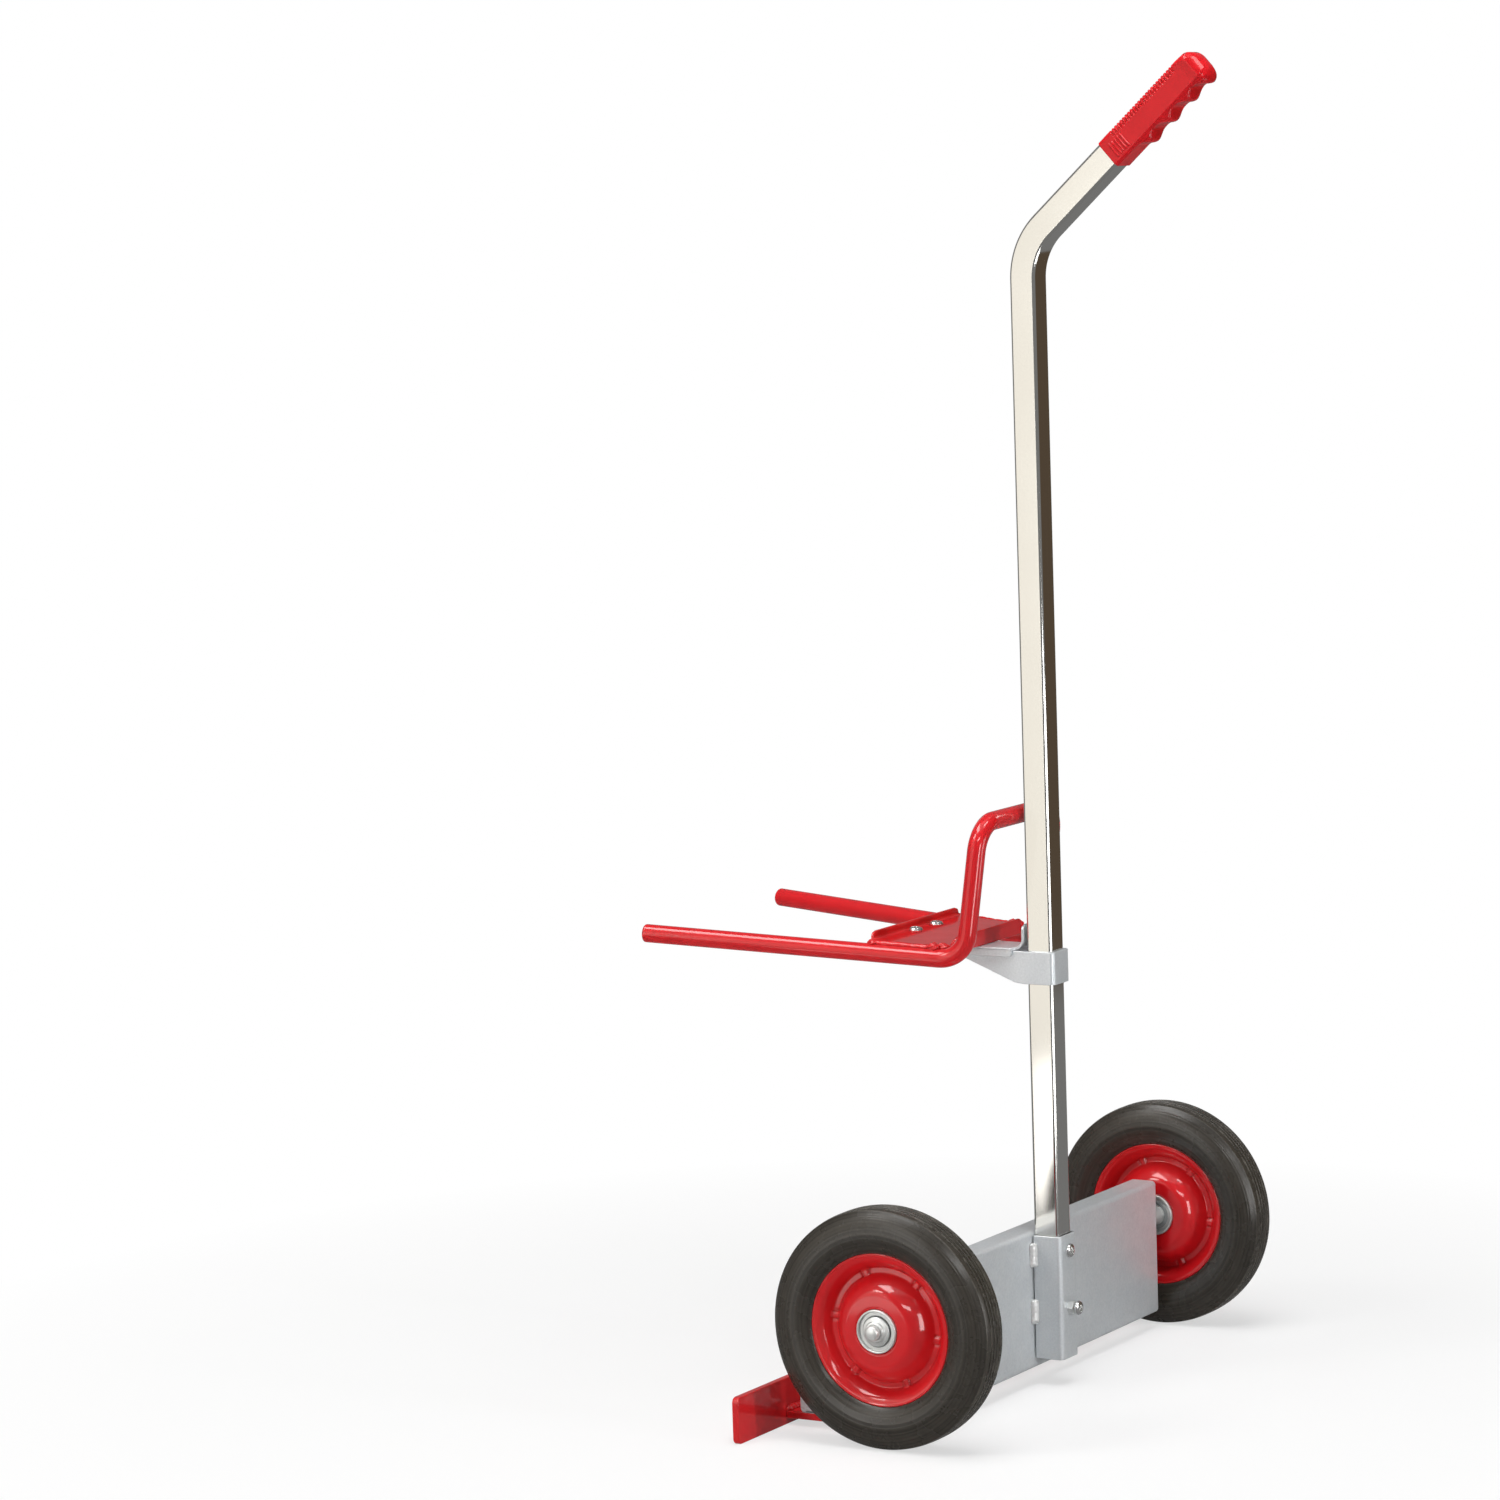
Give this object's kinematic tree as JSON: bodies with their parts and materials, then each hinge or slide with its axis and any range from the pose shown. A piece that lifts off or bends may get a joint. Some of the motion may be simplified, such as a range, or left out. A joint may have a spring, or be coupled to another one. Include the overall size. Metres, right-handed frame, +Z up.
{
  "type": "stacking chair trolley",
  "caption": "Two-wheel trolley for stacked chairs: chromed square mast with a red grip, sliding lift fork and a red toe bar with a grey axle frame.",
  "frame": {"origin": "middle of the toe bar's floor face", "axes": "+X along the axle, -Y forward to the load, +Y back to the user, +Z up the mast"},
  "size_m": [0.608, 0.5175, 1.149],
  "materials": {
    "red_paint": "glossy powder coat",
    "grey_paint": "grainy silver-grey paint",
    "chrome": "bright plated",
    "zinc": "zinc plated",
    "weld_metal": "bright weld metal",
    "tyre_rubber": "matte dark grey rubber",
    "grip_vinyl": "glossy moulded vinyl"
  },
  "bodies": {
    "frame": {"axle_channel": "grey_paint", "cheek_left": "grey_paint", "cheek_right": "grey_paint", "mast_socket": "grey_paint", "socket_welds": "weld_metal", "mast": "chrome", "mast_bolt": "zinc", "mast_bolt_nut": "zinc", "clamp_screw": "zinc", "clamp_jam_nut": "zinc", "handle_grip": "grip_vinyl", "axle": "zinc", "toe_bar": "red_paint", "toe_plate": "red_paint", "toe_weld": "red_paint", "toe_bolts": "zinc", "toe_nuts": "zinc", "axle_spacer_left": "zinc", "push_nut_left": "zinc", "bearing_inner_left": "zinc", "axle_spacer_right": "zinc", "push_nut_right": "zinc", "bearing_inner_right": "zinc"},
    "wheel_left": {"tyre_left": "tyre_rubber", "hub_outer_disc_left": "red_paint", "hub_inner_disc_left": "red_paint", "hub_sleeve_left": "zinc", "bearing_outer_left": "zinc", "bearing_balls_left": "zinc"},
    "wheel_right": {"tyre_right": "tyre_rubber", "hub_outer_disc_right": "red_paint", "hub_inner_disc_right": "red_paint", "hub_sleeve_right": "zinc", "bearing_outer_right": "zinc", "bearing_balls_right": "zinc"},
    "carriage": {"carriage_collar": "grey_paint", "collar_bar": "grey_paint", "carriage_table": "grey_paint", "fork_rod": "red_paint", "fork_plate": "red_paint", "fork_welds": "red_paint", "fork_screws": "zinc", "fork_spacers": "zinc", "fork_nuts": "zinc"}
  },
  "joints": [
    {"name": "carriage_slide", "type": "slide", "parent": "frame", "child": "carriage", "axis": [0, 0, 1], "range_m": [-0.21, 0.54]},
    {"name": "wheel_left_spin", "type": "hinge", "parent": "frame", "child": "wheel_left", "pos_m": [-0.258, 0.1228, 0.1016], "axis": [1, 0, 0], "continuous": true},
    {"name": "wheel_right_spin", "type": "hinge", "parent": "frame", "child": "wheel_right", "pos_m": [0.258, 0.1228, 0.1016], "axis": [1, 0, 0], "continuous": true}
  ]
}
